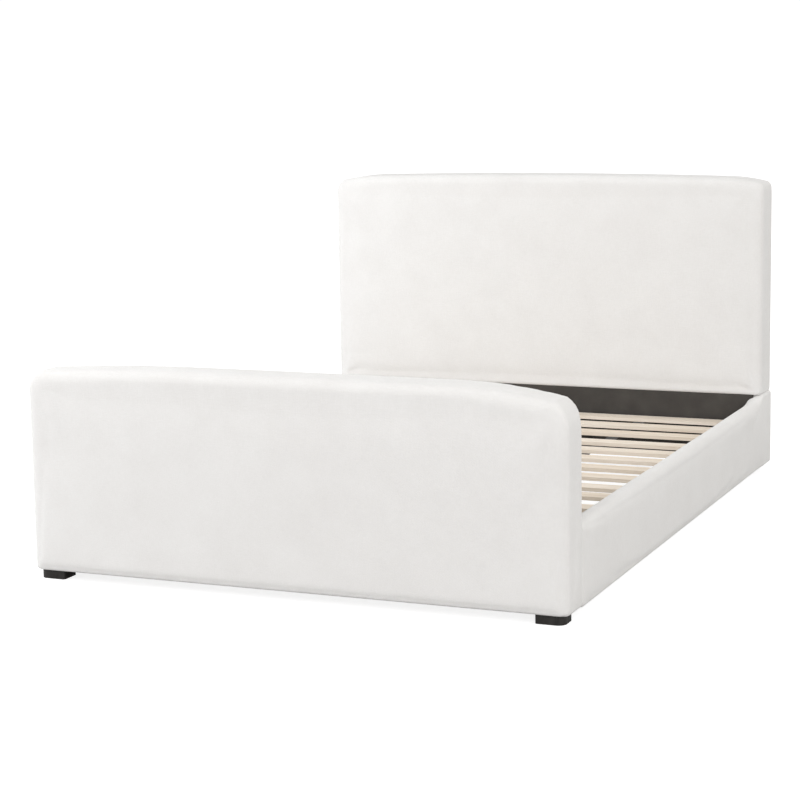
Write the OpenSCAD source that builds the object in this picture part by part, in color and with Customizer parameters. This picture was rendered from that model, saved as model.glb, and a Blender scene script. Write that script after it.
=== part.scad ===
// Upholstered queen-size bed with a padded headboard, footboard and side rails.
// +Z is up, +Y points to the head of the bed, and "left" and "right" are as seen from the foot.
// The origin is on the floor under the middle of the bed.

/* [Overall] */
// Length of the bed, from the front of the footboard to the back of the headboard
bed_l = 2328; // [2300:2:2400]
// Width over the side rails
bed_w = 1660; // [1640:2:1700]
// Height of the feet under the footboard
foot_clearance = 30; // [26:1:45]

/* [Headboard] */
// Height of the crown of the headboard above the floor
head_h = 1074; // [900:2:1300]
// Thickness of the headboard
head_t = 154; // [150:1:170]
// Width of the headboard pad
head_w = 1654; // [1620:2:1660]
// Height of the underside of the headboard pad
head_pad_z = 287; // [285:1:300]
// How far the crown falls from its middle to its corners
head_crown_drop = 10; // [0:1:20]
// How much further its shoulders droop
head_shoulder_drop = 12; // [0:1:20]
// Radius of the headboard's upper corners
head_corner_r = 24; // [16:1:40]

/* [Footboard] */
// Height of the footboard in its middle
foot_h = 646; // [600:2:700]
// Thickness of the footboard
foot_t = 125; // [120:1:140]
// Width of the footboard
foot_w = 1660; // [1630:2:1660]
// How far the footboard's top falls towards its shoulders
foot_shoulder_drop = 30; // [0:1:40]
// Radius of the footboard's upper corners
foot_corner_r = 28; // [20:1:40]

/* [Side rails] */
// Thickness of a padded side rail
rail_t = 57; // [55:1:60]
// Height of the top of the rails above the floor
rail_top_z = 268; // [262:1:272]
// How far a rail's top rises where it passes under the headboard pad
rail_end_rise = 15; // [0:1:16]

/* [Slat deck] */
// Number of slats
slat_count = 14; // [10:1:14]
// Width of a slat along the bed
slat_w = 64; // [50:1:70]
// Thickness of a slat
slat_t = 12; // [10:1:14]
// Height of the top of the slats above the floor
slat_top_z = 197; // [196:1:200]

/* [Centre support] */
// Width of the centre beam
beam_w = 45; // [40:1:60]
// Height of the centre beam's section
beam_h = 70; // [60:1:80]
// Side of the square centre legs
leg_w = 45; // [40:1:50]
// Distance of the end legs from the middle leg
leg_pitch = 640; // [500:10:700]

/* [Hidden] */
$fn = 48;
slop = 0.2;             // air between loose pieces
thread_gap = 0.08;      // air round a screw thread

// Lengthwise planes
foot_front_y = -bed_l / 2;
foot_back_y = foot_front_y + foot_t;
head_back_y = bed_l / 2;
head_front_y = head_back_y - head_t;

// Where a board's top starts to droop, as a share of the way from its middle to its corner
head_shoulder_start = 0.85;
foot_shoulder_start = 0.6;
// Each board's top: crown drop, shoulder drop and where the shoulder starts
head_shape = [head_crown_drop, head_shoulder_drop, head_shoulder_start];
foot_shape = [0, foot_shoulder_drop, foot_shoulder_start];

// Layers of the headboard, from the front to the back
head_foam_t = 50;
face_board_t = 9;
back_panel_t = 10;
lining_t = 5;
head_board_y = head_front_y + head_foam_t;
head_frame_y = head_board_y + face_board_t;
head_panel_y = head_back_y - back_panel_t;
lining_y = head_front_y + 8;        // the lower part stands back under the pad
apron_y = lining_y + lining_t;
head_base_z = 60;       // underside of the headboard's lower part
head_ease = 18;
head_panel_inset = 4;
post_w = 48;
head_rail_h = 60;
head_middle_rail_t = 35;
head_side_gap = 2;      // air between the headboard's lower part and each rail
head_inner_w = 2 * (bed_w / 2 - rail_t - head_side_gap);
head_frame_top_z = head_h - 54;
rear_foot_w = 80;
rear_foot_inset = 45;   // from the corner of the headboard's lower part to the foot's middle

// Layers of the footboard, from the front to the back
foot_foam_t = 30;
foot_panel_t = 16;
foot_liner_t = 2;
foot_board_y = foot_front_y + foot_foam_t;
foot_frame_y = foot_board_y + face_board_t;
foot_panel_y = foot_back_y - foot_panel_t;
foot_ease = 16;
foot_inner_w = 1540;
foot_post_w = 70;
foot_rail_h = 45;
foot_frame_z = foot_clearance + 8;
foot_frame_top_z = foot_h - foot_shoulder_drop - 36;
foot_lining_z = foot_clearance + 6;
foot_lining_top_z = 290;
foot_lining_w = head_inner_w;
foot_back_face_y = foot_back_y + foot_liner_t;
front_foot_w = 84;
front_foot_d = 68;
front_foot_setback = 23;
front_foot_xs = [-784, 769];
front_foot_outer_r = 24;
foot_edge_r = 8;

// Side rails
rail_in_x = bed_w / 2 - rail_t;
rail_cover_t = 6;
core_t = 25;
core_z = foot_clearance + 8;
core_top_z = rail_top_z - 13;
rail_back_y = head_back_y - 4;
rail_back_r = 20;
rail_rise_l = 300;
core_back_y = rail_back_y - 12;

// Slats, cleats and beam
slat_z = slat_top_z - slat_t;
support_z = slat_z - slop;
slat_l = 2 * (rail_in_x - 5);
slat_first_y = head_front_y - 8;    // far edge of the slat nearest the head
slat_last_y = foot_back_face_y + 12;
slat_pitch = (slat_first_y - slat_w - slat_last_y) / (slat_count - 1);
// How far each slat lies from its even place, counted from the head
slat_drift = [0, -10, -14, -44, -36, -28, -24, -16, -22, 4, -10, -8, -4, 0];
function slat_far_y(i) = slat_first_y - slat_pitch * i + slat_drift[i];
cleat_w = 25;
cleat_h = 30;
webbing_w = 40;
webbing_t = 1.5;
webbing_x = 400;
staple_x = 10;          // from the middle of a strap
staple_w = 12;
staple_wire = 0.9;

// Centre support
beam_z = support_z - beam_h;
glide_pad_h = 12;
glide_r = 19;
stud_r = 4;
stud_l = 34;
leg_z = glide_pad_h + slop;
leg_ys = [leg_pitch, 0, -leg_pitch];
insert_r = 6;
insert_l = 25;
leg_bolt_head_r = 8;
leg_bolt_head_h = 8;

// Corner brackets and their fasteners
bracket_t = 3;
bracket_h = 106;
bracket_z = 46;
bracket_leg_y = 80;
bracket_leg_x = 64;
bolt_r = 4;
bolt_head_r = 6.5;
bolt_head_h = 5.3;
bolt_l = 30;
washer_r = 8;
washer_t = 1.6;
bolt_x = rail_in_x - 38;
bolt_zs = [bracket_z + 28, bracket_z + bracket_h - 28];
screw_r = 2;
screw_head_r = 4;
screw_head_h = 2.2;
bracket_screw_l = 22;
cleat_screw_l = 45;
cleat_screw_count = 7;
cleat_screw_margin = 80;
bracket_screw_ys = [45, 68];
hanger_screw_zs = [beam_z + 14, beam_z + 44];
hanger_t = 2.5;
hanger_depth = 40;
hanger_h = 58;
hanger_flange = 26;
side_names = ["left", "right"];
function side_sign(i) = i == 0 ? -1 : 1;

function slat_name(i) = str("slat_", i < 9 ? "0" : "", i + 1);
slat_names = [for (i = [0 : slat_count - 1]) slat_name(i)];

// ---- Colours ----
fabric_colour = [0.93, 0.92, 0.89];
lining_colour = [0.25, 0.24, 0.23];
timber_colour = [0.80, 0.66, 0.47];
board_colour = [0.72, 0.60, 0.43];
slat_colour = [0.89, 0.82, 0.70];
foot_colour = [0.10, 0.09, 0.09];
steel_colour = [0.62, 0.63, 0.65];
webbing_colour = [0.16, 0.15, 0.15];

// ---- Shared shapes ----

// A box given by its lowest and highest corners
module box(low, high) {
    translate(low) cube(high - low);
}

// Stands an outline drawn in X and Z upright, from y0 to y1
module upright(y0, y1) {
    translate([0, y1, 0]) rotate([90, 0, 0]) linear_extrude(y1 - y0) children();
}

// Lays an outline drawn in Y and Z along X, from x0 to x1
module sideways(x0, x1) {
    translate([x0, 0, 0]) rotate([90, 0, 90]) linear_extrude(x1 - x0) children();
}

// Points of a circular arc about (cx, cz), between two angles
function arc(cx, cz, r, from, to, steps) =
    [for (i = [0 : steps]) let (a = from + (to - from) * i / steps) [cx + r * cos(a), cz + r * sin(a)]];

// How far a board's top lies below its middle, at the share s of the way out to its corner
function fall(s, shape) =
    shape[0] * s * s + shape[1] * pow(max(0, (s - shape[2]) / (1 - shape[2])), 2);

// A board's outline: straight sides, a crowned top with drooping shoulders, and rounded upper corners
module board_outline(w, z0, top, r, shape, inset) {
    corner_r = r - inset / 2;
    flat = w / 2 - inset - corner_r;
    half = w / 2 - inset;
    edge_z = top - inset - fall(1, shape) - corner_r;
    steps = 20;
    crown = [for (i = [-steps : steps]) [-flat * i / steps, top - inset - fall(abs(i) / steps, shape)]];
    polygon(concat(
        [[-half, z0], [half, z0]],
        arc(flat, edge_z, corner_r, 0, 80, 8),
        crown,
        arc(-flat, edge_z, corner_r, 100, 180, 8)));
}

// A padded board from y0 to y1, whose front edge is eased
module padded_board(w, z0, top, r, shape, y0, y1, ease) {
    front_skin = 1;
    hull() {
        upright(y0, y0 + front_skin) board_outline(w, z0 + ease, top, r, shape, ease);
        upright(y0 + ease, y1) board_outline(w, z0, top, r, shape, 0);
    }
}

// A foot block whose vertical edges are rounded, those in front of it on the side given by outer more so
module foot_block(cx, cy, w, d, h, outer, outer_r) {
    linear_extrude(h) hull() for (x = [-1, 1], y = [-1, 1]) {
        r = x == outer && y < 0 ? outer_r : foot_edge_r;
        translate([cx + x * (w / 2 - r), cy + y * (d / 2 - r)]) circle(r);
    }
}

// ---- Headboard ----

module headboard_pad() {
    color(fabric_colour) difference() {
        padded_board(head_w, head_pad_z, head_h, head_corner_r, head_shape,
            head_front_y, head_panel_y, head_ease);
        box([-head_inner_w / 2, head_board_y, head_pad_z - 1],
            [head_inner_w / 2, head_panel_y + 1, head_frame_top_z]);
    }
}

module headboard_face_board() {
    color(board_colour) box([-head_inner_w / 2, head_board_y, head_pad_z],
        [head_inner_w / 2, head_frame_y, head_frame_top_z]);
}

module headboard_post(side) {
    x = side * (head_inner_w / 2 - post_w / 2);
    color(timber_colour) box([x - post_w / 2, head_frame_y, head_base_z],
        [x + post_w / 2, head_panel_y, head_frame_top_z - head_rail_h]);
}

module headboard_top_rail() {
    color(timber_colour) box([-head_inner_w / 2, head_frame_y, head_frame_top_z - head_rail_h],
        [head_inner_w / 2, head_panel_y, head_frame_top_z]);
}

module headboard_middle_rail() {
    half = head_inner_w / 2 - post_w;
    z = (head_frame_top_z + head_pad_z) / 2;
    color(timber_colour) box([-half, head_frame_y, z - head_rail_h / 2],
        [half, head_frame_y + head_middle_rail_t, z + head_rail_h / 2]);
}

module headboard_apron() {
    color(board_colour) difference() {
        box([-head_inner_w / 2, apron_y, head_base_z], [head_inner_w / 2, head_frame_y, head_pad_z]);
        for (side = [-1, 1], z = bolt_zs) translate([side * bolt_x, apron_y, z])
            bolt_pocket(head_frame_y - apron_y);
        hanger_screw_holes(1);
    }
}

module headboard_back_panel() {
    color(fabric_colour) union() {
        upright(head_panel_y, head_back_y)
            board_outline(head_w, head_pad_z, head_h, head_corner_r, head_shape, head_panel_inset);
        box([-head_inner_w / 2, head_panel_y, head_base_z],
            [head_inner_w / 2, head_back_y, head_pad_z + 1]);
    }
}

module headboard_lining() {
    color(lining_colour) difference() {
        box([-head_inner_w / 2, lining_y, head_base_z], [head_inner_w / 2, apron_y, head_pad_z]);
        for (side = [-1, 1], z = bolt_zs) translate([side * bolt_x, lining_y, z])
            along_y(bolt_r, lining_t);
        hanger_screw_holes(1);
    }
}

module rear_foot(side) {
    x = side * (head_inner_w / 2 - rear_foot_inset);
    color(foot_colour) foot_block(x, head_panel_y - rear_foot_inset, rear_foot_w, rear_foot_w, head_base_z,
        side, foot_edge_r);
}

// ---- Footboard ----

module footboard_pad() {
    color(fabric_colour) difference() {
        padded_board(foot_w, foot_clearance, foot_h, foot_corner_r, foot_shape,
            foot_front_y, foot_panel_y, foot_ease);
        box([-foot_inner_w / 2, foot_board_y, foot_frame_z],
            [foot_inner_w / 2, foot_panel_y + 1, foot_frame_top_z]);
    }
}

module footboard_face_board() {
    color(board_colour) box([-foot_inner_w / 2, foot_board_y, foot_frame_z],
        [foot_inner_w / 2, foot_frame_y, foot_frame_top_z]);
}

module footboard_post(side) {
    x = side * (foot_inner_w / 2 - foot_post_w / 2);
    color(timber_colour) difference() {
        box([x - foot_post_w / 2, foot_frame_y, foot_frame_z],
            [x + foot_post_w / 2, foot_panel_y, foot_frame_top_z - foot_rail_h]);
        for (z = bolt_zs) translate([side * bolt_x, foot_panel_y, z]) mirror([0, 1, 0])
            bolt_pocket(foot_panel_y - foot_frame_y);
    }
}

module footboard_top_rail() {
    color(timber_colour) box([-foot_inner_w / 2, foot_frame_y, foot_frame_top_z - foot_rail_h],
        [foot_inner_w / 2, foot_panel_y, foot_frame_top_z]);
}

module footboard_lower_rail() {
    half = foot_inner_w / 2 - foot_post_w;
    color(timber_colour) difference() {
        box([-half, foot_frame_y, foot_frame_z], [half, foot_panel_y, support_z]);
        hanger_screw_holes(-1);
    }
}

module footboard_back_panel() {
    color(fabric_colour) difference() {
        upright(foot_panel_y, foot_back_y)
            board_outline(foot_w, foot_clearance, foot_h, foot_corner_r, foot_shape, 0);
        for (side = [-1, 1], z = bolt_zs) translate([side * bolt_x, foot_panel_y, z])
            along_y(bolt_r, foot_panel_t);
        hanger_screw_holes(-1);
    }
}

module footboard_lining() {
    color(lining_colour) difference() {
        box([-foot_lining_w / 2, foot_back_y, foot_lining_z],
            [foot_lining_w / 2, foot_back_face_y, foot_lining_top_z]);
        for (side = [-1, 1], z = bolt_zs) translate([side * bolt_x, foot_back_y, z])
            along_y(bolt_r, foot_liner_t);
        hanger_screw_holes(-1);
    }
}

module front_foot(side) {
    color(foot_colour) foot_block(front_foot_xs[side < 0 ? 0 : 1],
        foot_front_y + front_foot_setback + front_foot_d / 2, front_foot_w, front_foot_d, foot_clearance,
        side, front_foot_outer_r);
}

// ---- Side rails ----

// A rail cover's outline seen from the side: its top rises to pass under the headboard pad
module rail_outline() {
    r = rail_back_r;
    steps = 8;
    rise = [for (i = [0 : steps]) let (t = i / steps)
        [head_front_y + 20 - rail_rise_l * t, rail_top_z + rail_end_rise * pow(cos(90 * t), 2)]];
    polygon(concat(
        [[foot_back_y, foot_clearance]],
        arc(rail_back_y - r, foot_clearance + r, r, -90, 0, 6),
        [[rail_back_y, rail_top_z + rail_end_rise]],
        rise,
        [[foot_back_y, rail_top_z]]));
}

module rail_pad(side) {
    color(fabric_colour) mirror([side < 0 ? 1 : 0, 0, 0]) difference() {
        sideways(rail_in_x, bed_w / 2) rail_outline();
        box([rail_in_x + rail_cover_t, foot_back_y - 1, core_z],
            [rail_in_x + rail_cover_t + core_t, core_back_y, core_top_z]);
        rail_screw_holes(rail_in_x, rail_cover_t);
    }
}

module rail_core(side) {
    color(timber_colour) mirror([side < 0 ? 1 : 0, 0, 0]) difference() {
        box([rail_in_x + rail_cover_t, foot_back_y, core_z],
            [rail_in_x + rail_cover_t + core_t, core_back_y, core_top_z]);
        rail_screw_holes(rail_in_x + rail_cover_t, core_t);
    }
}

module slat_cleat(side) {
    color(timber_colour) mirror([side < 0 ? 1 : 0, 0, 0]) difference() {
        box([rail_in_x - cleat_w, foot_back_face_y + 1, support_z - cleat_h],
            [rail_in_x, lining_y - 1, support_z]);
        at_cleat_screws() {
            along_x(screw_r, cleat_w);
            along_x(screw_head_r, screw_head_h);
        }
    }
}

// ---- Hardware ----

module along_x(r, l) {
    rotate([0, 90, 0]) cylinder(r = r, h = l);
}

module along_y(r, l) {
    rotate([-90, 0, 0]) cylinder(r = r, h = l);
}

// The blind hole for a threaded insert, opening towards -Y, with room for the bolt's tip
module bolt_pocket(depth) {
    along_y(insert_r, insert_l);
    along_y(bolt_r, min(depth, bolt_l));
}

// Places along the right-hand cleat where its screws go in, on its inner face
module at_cleat_screws() {
    first_y = foot_back_face_y + cleat_screw_margin;
    span = lining_y - cleat_screw_margin - first_y;
    for (i = [0 : cleat_screw_count - 1])
        translate([rail_in_x - cleat_w, first_y + span * i / (cleat_screw_count - 1),
            support_z - cleat_h / 2]) children();
}

// Places on the right-hand rail's inner face where the bracket screws go in
module at_bracket_screws() {
    for (dy = bracket_screw_ys, y = [foot_back_face_y + dy, lining_y - dy], z = bolt_zs)
        translate([rail_in_x - bracket_t, y, z]) children();
}

// The screw holes through one layer of the right-hand rail, from x0 for t
module rail_screw_holes(x0, t) {
    intersection() {
        box([x0, foot_back_y, 0], [x0 + t, head_back_y, head_h]);
        union() {
            at_cleat_screws() along_x(screw_r, cleat_screw_l);
            at_bracket_screws() along_x(screw_r, bracket_screw_l);
        }
    }
}

// One corner bracket at the head end of the right-hand rail
module bracket_right_head() {
    difference() {
        union() {
            box([rail_in_x - bracket_t, lining_y - bracket_leg_y, bracket_z],
                [rail_in_x, lining_y, bracket_z + bracket_h]);
            box([rail_in_x - bracket_leg_x, lining_y - bracket_t, bracket_z],
                [rail_in_x, lining_y, bracket_z + bracket_h]);
        }
        for (z = bolt_zs) {
            translate([bolt_x, lining_y - bracket_t - 1, z]) along_y(bolt_r, bracket_t + 2);
            for (dy = bracket_screw_ys) translate([rail_in_x - bracket_t - 1, lining_y - dy, z])
                along_x(screw_r, bracket_t + 2);
        }
    }
}

// Repeats a head-end, right-hand piece at all four corners
module at_corners() {
    for (side = [0, 1]) mirror([side, 0, 0]) {
        children();
        translate([0, foot_back_face_y + lining_y, 0]) mirror([0, 1, 0]) children();
    }
}

module corner_brackets() {
    color(steel_colour) at_corners() bracket_right_head();
}

module bracket_bolts() {
    color(steel_colour) at_corners() for (z = bolt_zs)
        translate([bolt_x, lining_y - bracket_t - washer_t, z]) {
            translate([0, -bolt_head_h, 0]) rotate([-90, 0, 0])
                cylinder(r = bolt_head_r, h = bolt_head_h, $fn = 6);
            along_y(bolt_r, bolt_l);
        }
}

module bracket_washers() {
    color(steel_colour) at_corners() for (z = bolt_zs)
        translate([bolt_x, lining_y - bracket_t - washer_t, z]) difference() {
            along_y(washer_r, washer_t);
            translate([0, -1, 0]) along_y(bolt_r, washer_t + 2);
        }
}

// A threaded insert, from y = 0 to its length
module insert() {
    difference() {
        along_y(insert_r, insert_l);
        translate([0, -1, 0]) along_y(bolt_r, insert_l + 2);
    }
}

module bracket_inserts() {
    color(steel_colour) for (side = [-1, 1], z = bolt_zs) {
        translate([side * bolt_x, apron_y, z]) insert();
        translate([side * bolt_x, foot_panel_y, z]) mirror([0, 1, 0]) insert();
    }
}

// A pan-head screw along +X, whose shank starts at the origin
module pan_screw(l) {
    along_x(screw_r, l);
    translate([-screw_head_h, 0, 0]) along_x(screw_head_r, screw_head_h);
}

// The screws of a beam hanger's flanges
module at_hanger_screws(end) {
    y = end > 0 ? lining_y - hanger_t : foot_back_face_y + hanger_t;
    x = beam_w / 2 + hanger_t + hanger_flange / 2;
    for (side = [-1, 1], z = hanger_screw_zs)
        translate([side * x, y, z]) rotate([0, 0, end * 90]) children();
}

module hanger_screw_holes(end) {
    at_hanger_screws(end) along_x(screw_r, bracket_screw_l);
}

module bracket_screws() {
    color(steel_colour) {
        for (side = [0, 1]) mirror([side, 0, 0]) at_bracket_screws() pan_screw(bracket_screw_l);
        for (end = [-1, 1]) at_hanger_screws(end) pan_screw(bracket_screw_l);
    }
}

module cleat_screws() {
    color(steel_colour) for (side = [0, 1]) mirror([side, 0, 0]) at_cleat_screws() {
        along_x(screw_r, cleat_screw_l);
        along_x(screw_head_r, screw_head_h);
    }
}

// ---- Centre support ----

module centre_beam() {
    color(timber_colour) difference() {
        box([-beam_w / 2, foot_back_face_y + hanger_t, beam_z],
            [beam_w / 2, lining_y - hanger_t, support_z]);
        for (y = leg_ys) translate([0, y, beam_z - 1]) {
            cylinder(r = bolt_r, h = beam_h + 2);
            translate([0, 0, beam_h + 1 - leg_bolt_head_h])
                cylinder(r = leg_bolt_head_r, h = leg_bolt_head_h + 1);
        }
    }
}

// A hanger that cups the beam's end and screws to the board behind it
module beam_hanger() {
    half = beam_w / 2;
    box([-half - hanger_t, lining_y - hanger_depth, beam_z - hanger_t],
        [half + hanger_t, lining_y, beam_z]);
    for (side = [0, 1]) mirror([side, 0, 0])
        box([half, lining_y - hanger_depth, beam_z - hanger_t],
            [half + hanger_t, lining_y, beam_z + hanger_h]);
    difference() {
        box([-half - hanger_t - hanger_flange, lining_y - hanger_t, beam_z - hanger_t],
            [half + hanger_t + hanger_flange, lining_y, beam_z + hanger_h]);
        at_hanger_screws(1) translate([-1, 0, 0]) along_x(screw_r, hanger_t + 2);
    }
}

module beam_hangers() {
    color(steel_colour) {
        beam_hanger();
        translate([0, foot_back_face_y + lining_y, 0]) mirror([0, 1, 0]) beam_hanger();
    }
}

module centre_leg(y) {
    color(timber_colour) difference() {
        box([-leg_w / 2, y - leg_w / 2, leg_z], [leg_w / 2, y + leg_w / 2, beam_z]);
        translate([0, y, leg_z - 1]) cylinder(r = stud_r + slop, h = beam_z - leg_z + 2);
        translate([0, y, leg_z - 1]) cylinder(r = insert_r, h = insert_l + 1);
        translate([0, y, beam_z - insert_l]) cylinder(r = insert_r, h = insert_l + 1);
    }
}

module leg_bolts() {
    color(steel_colour) for (y = leg_ys) translate([0, y, 0]) {
        translate([0, 0, support_z - leg_bolt_head_h])
            cylinder(r = leg_bolt_head_r, h = leg_bolt_head_h - 1);
        translate([0, 0, beam_z - insert_l]) cylinder(r = bolt_r, h = beam_h + insert_l - leg_bolt_head_h);
    }
}

module leg_inserts() {
    color(steel_colour) for (y = leg_ys) translate([0, y, 0]) {
        difference() {
            translate([0, 0, beam_z - insert_l]) cylinder(r = insert_r, h = insert_l);
            translate([0, 0, beam_z - insert_l - 1]) cylinder(r = bolt_r, h = insert_l + 2);
        }
        difference() {
            translate([0, 0, leg_z]) cylinder(r = insert_r, h = insert_l);
            translate([0, 0, leg_z - 1]) cylinder(r = stud_r + thread_gap, h = insert_l + 2);
        }
    }
}

// A levelling foot: a pad on the floor with a threaded stud up into the leg
module glide(y) {
    color(foot_colour) translate([0, y, 0]) {
        cylinder(r = glide_r, h = glide_pad_h);
        cylinder(r = stud_r, h = glide_pad_h + stud_l);
    }
}

// ---- Slat deck ----

module slat(i) {
    y = slat_far_y(i);
    color(slat_colour) box([-slat_l / 2, y - slat_w, slat_z], [slat_l / 2, y, slat_top_z]);
}

module webbing(side) {
    color(webbing_colour) box([side * webbing_x - webbing_w / 2, slat_last_y, slat_z - webbing_t],
        [side * webbing_x + webbing_w / 2, slat_first_y, slat_z]);
}

module webbing_staples() {
    color(steel_colour) for (side = [-1, 1], i = [0 : slat_count - 1], dx = [-staple_x, staple_x]) {
        y = slat_far_y(i) - slat_w / 2;
        x = side * webbing_x + dx;
        box([x - staple_wire / 2, y - staple_w / 2, slat_z - webbing_t - staple_wire],
            [x + staple_wire / 2, y + staple_w / 2, slat_z - webbing_t]);
    }
}

// ---- Assembly ----

headboard_pad();
headboard_face_board();
for (i = [0, 1])
    headboard_post(side_sign(i));
headboard_top_rail();
headboard_middle_rail();
headboard_apron();
headboard_back_panel();
headboard_lining();
for (i = [0, 1])
    rear_foot(side_sign(i));
footboard_pad();
footboard_face_board();
for (i = [0, 1])
    footboard_post(side_sign(i));
footboard_top_rail();
footboard_lower_rail();
footboard_back_panel();
footboard_lining();
for (i = [0, 1])
    front_foot(side_sign(i));
for (i = [0, 1])
    rail_core(side_sign(i));
for (i = [0, 1])
    rail_pad(side_sign(i));
for (i = [0, 1])
    slat_cleat(side_sign(i));
corner_brackets();
bracket_bolts();
bracket_washers();
bracket_inserts();
bracket_screws();
cleat_screws();
centre_beam();
beam_hangers();
centre_leg(leg_ys[0]);  // centre_leg_head
centre_leg(leg_ys[1]);  // centre_leg_middle
centre_leg(leg_ys[2]);  // centre_leg_foot
leg_bolts();
leg_inserts();
glide(leg_ys[0]);  // glide_head
glide(leg_ys[1]);  // glide_middle
glide(leg_ys[2]);  // glide_foot
webbing(-1);  // webbing_left
webbing(1);  // webbing_right
webbing_staples();
for (i = [0 : slat_count - 1]) slat(i);
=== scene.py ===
import math

import bmesh
import bpy
import numpy as np
from mathutils import Matrix, Vector
from mathutils.bvhtree import BVHTree


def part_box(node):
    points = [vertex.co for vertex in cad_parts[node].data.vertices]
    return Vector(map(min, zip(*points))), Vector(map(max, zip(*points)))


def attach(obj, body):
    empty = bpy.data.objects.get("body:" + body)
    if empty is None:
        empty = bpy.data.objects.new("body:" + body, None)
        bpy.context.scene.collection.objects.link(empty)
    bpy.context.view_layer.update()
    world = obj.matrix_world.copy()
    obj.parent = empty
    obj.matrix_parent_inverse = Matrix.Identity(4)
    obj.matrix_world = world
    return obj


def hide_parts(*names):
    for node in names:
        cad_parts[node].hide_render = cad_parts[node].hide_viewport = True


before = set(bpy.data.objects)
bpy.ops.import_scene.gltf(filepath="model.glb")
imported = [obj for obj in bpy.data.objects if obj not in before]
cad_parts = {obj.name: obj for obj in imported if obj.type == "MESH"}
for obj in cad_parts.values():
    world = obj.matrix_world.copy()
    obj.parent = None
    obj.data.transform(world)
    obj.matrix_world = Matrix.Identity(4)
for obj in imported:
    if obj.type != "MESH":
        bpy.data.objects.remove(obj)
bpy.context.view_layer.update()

SCENE = bpy.context.scene
HALF_PI = math.pi / 2

# ---- Places taken from the frame, in metres ----
HEAD_LOW, HEAD_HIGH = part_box("headboard_pad")
HEAD_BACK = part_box("headboard_back_panel")[1].y
BACK_PANEL_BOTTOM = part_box("headboard_back_panel")[0].z
FOOT_LOW, FOOT_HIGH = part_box("footboard_pad")
FOOT_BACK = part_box("footboard_back_panel")[1].y
RAIL_LOW, RAIL_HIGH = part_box("rail_pad_right")
LINING_LOW, LINING_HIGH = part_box("headboard_lining")
FOOT_LINING_LOW, FOOT_LINING_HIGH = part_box("footboard_lining")
SLATS = sorted(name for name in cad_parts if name.startswith("slat_") and name[5:].isdigit())
STATIC, DECK = "bed_frame", "slat_deck"

# ---- Shape of the padding, in metres ----
# A board's top: how far its crown falls, then for its left and right shoulders how far they droop and where
# from. The photo shows the footboard's right shoulder fallen further than its left.
HEAD_SHAPE = (0.010, (0.012, 0.85), (0.012, 0.85))
FOOT_SHAPE = (0.0, (0.017, 0.35), (0.030, 0.6))
# Width and height of a board's rounded top corners, left and right
HEAD_CORNERS = ((0.034, 0.044), (0.024, 0.028))
FOOT_CORNERS = ((0.040, 0.046), (0.055, 0.088))
RAIL_TOP = 0.2625
# A rail's top rises towards the headboard pad: how far, over what run, and how far behind the pad's face the
# rise ends
RAIL_RISE, RAIL_RISE_RUN, RAIL_RISE_END = 0.0275, 0.12, 0.030

# ---- Shaping the padding: a cover's cell size, how far it swells, and in how many frames ----
BOARD_VOXEL, RAIL_VOXEL = 0.010, 0.008
BOARD_SWELL, RAIL_SWELL = 0.005, 0.004
SWELL_FRAMES, SWELL_PRESSURE = 20, 4.0
# A board's cover is held at the back: how far before the back that starts, and over what run it takes hold
BACK_HOLD, BACK_HOLD_RUN = 0.035, 0.03
# Length of the waves that leave the padding a little uneven, how many cross, and how high they are together
LUMP_LENGTH, LUMP_WAVES = 0.42, 6
BOARD_LUMPS, RAIL_LUMPS = 0.0012, 0.0010

# ---- Camera and light: lengths in metres, angles in degrees, power in watts ----
CAMERA_PLACE = (2.549, -6.293, 1.508)
CAMERA_YAW, CAMERA_PITCH, CAMERA_ROLL = 23.15, 9.30, -1.02
CAMERA_LENS_MM, CAMERA_SENSOR_MM = 94.3, 36
# Strength of the light all round, at the horizon and overhead, and of the white seen behind the bed
HORIZON_LIGHT, OVERHEAD_LIGHT, SEEN_WHITE = 1.12, 0.70, 1.05
FLOOR_HALF, FLOOR_GREY, FLOOR_GLOW = 40, 0.45, 0.8
# Each lamp's name, place, target, size, power and colour
LAMPS = (
    ("key", (-3.8, -4.2, 3.2), (0, 1, 0.7), (3, 3), 76, (0.99, 1, 1.02)),
    ("head_fill", (-2.6, -0.9, 1.3), (-0.4, 1, 0.7), (1.6, 1.6), 28, (0.97, 1, 1.04)),
    ("front", (0.5, -8, 3), (0, 0, 0.4), (5, 3), 104, (1, 0.96, 0.95)),
    ("front_right", (5.5, -6.5, 2.6), (0.5, 0, 0.4), (4, 3), 92, (1, 0.97, 0.96)),
    ("right", (6, 0.3, 1.8), (0.8, 0, 0.3), (4, 3), 56, (1, 0.97, 0.93)),
)

# ---- Materials: each timber's pale, middle and dark grain, and the spacing of patterns in metres ----
SLAT_TONES = ((0.89, 0.81, 0.715), (0.83, 0.735, 0.62), (0.71, 0.595, 0.465))
TIMBER_TONES = ((0.70, 0.54, 0.34), (0.60, 0.44, 0.26), (0.46, 0.31, 0.17))
LONG_TIMBER_TONES = ((0.74, 0.60, 0.41), (0.64, 0.49, 0.31), (0.50, 0.35, 0.20))
WHITE = (1, 1, 1)
ALONG_X, ALONG_Y, ALONG_Z = range(3)
# The cover's threads, the lining's pressed dots, and the webbing's ribs and chevrons
THREAD_PITCH, DOT_PITCH, RIB_PITCH, CHEVRON_PITCH = 0.0021, 0.0035, 0.0022, 0.0030


# ---- Camera, floor and light ----

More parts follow.
